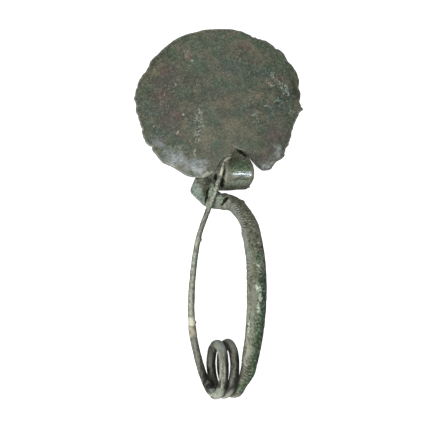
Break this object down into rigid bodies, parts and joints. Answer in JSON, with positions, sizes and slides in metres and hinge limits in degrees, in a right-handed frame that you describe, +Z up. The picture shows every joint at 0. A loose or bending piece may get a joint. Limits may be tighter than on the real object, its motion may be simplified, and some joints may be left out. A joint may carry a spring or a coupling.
{
  "type": "fibula brooch",
  "caption": "Ancient bronze dress brooch: broad thin disc foot, folded catch, thick arched bow, coiled spring and a long thin pin with an old repair.",
  "frame": {"origin": "middle of the brooch's bounding box, at the bottom, on the surface that it lies on", "axes": "+Y along the brooch from the spring to the disc; +Z up, out of the disc's face; +X towards the bow's side"},
  "size_m": [0.067, 0.1471, 0.0318],
  "materials": {
    "bronze_patina": "tin bronze under a smooth green-brown patina, mottled with red-brown and pale green, worn lighter on the high places",
    "pin_patina": "tin bronze under a paler grey-green patina",
    "repair_fill": "matt tan conservation fill"
  },
  "bodies": {
    "root": {"brooch": "bronze_patina", "pin_point_length": "pin_patina", "pin_fill": "repair_fill"}
  },
  "joints": []
}
